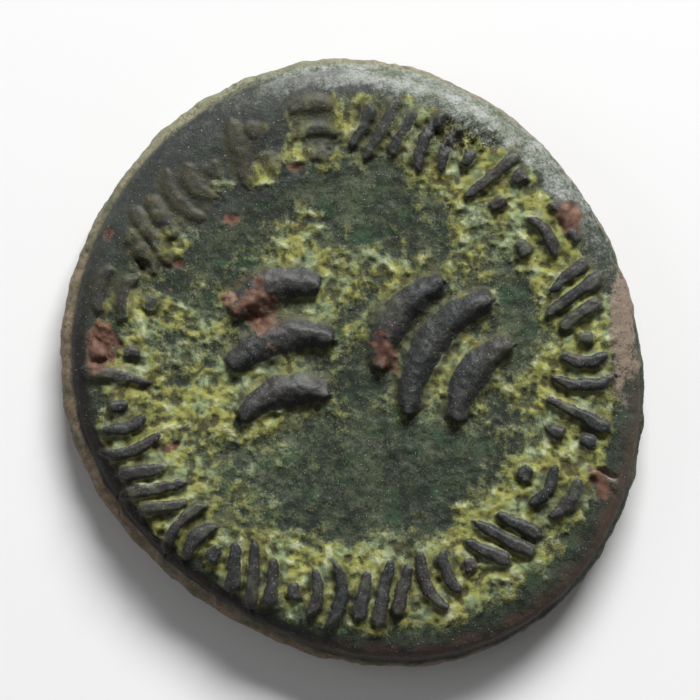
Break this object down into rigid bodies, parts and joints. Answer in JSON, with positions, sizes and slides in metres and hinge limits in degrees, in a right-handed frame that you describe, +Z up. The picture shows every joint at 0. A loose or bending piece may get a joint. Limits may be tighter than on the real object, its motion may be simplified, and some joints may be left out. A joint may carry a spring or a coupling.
{
  "type": "struck bronze coin",
  "caption": "Small ancient struck bronze coin lying flat, a thick uneven disc with worn raised strokes round its face and bold curved strokes in the middle.",
  "frame": {"origin": "under the middle of the coin's outline, on the surface it lies on", "axes": "+Z up out of the struck face, +Y towards the top of the face as it is read, +X to its right"},
  "size_m": [0.0168, 0.0174, 0.0021],
  "materials": {
    "patinated_bronze": "dark green and slate bronze patina, satin on the high points and granular in the recesses"
  },
  "bodies": {
    "root": {"coin": "patinated_bronze"}
  },
  "joints": []
}
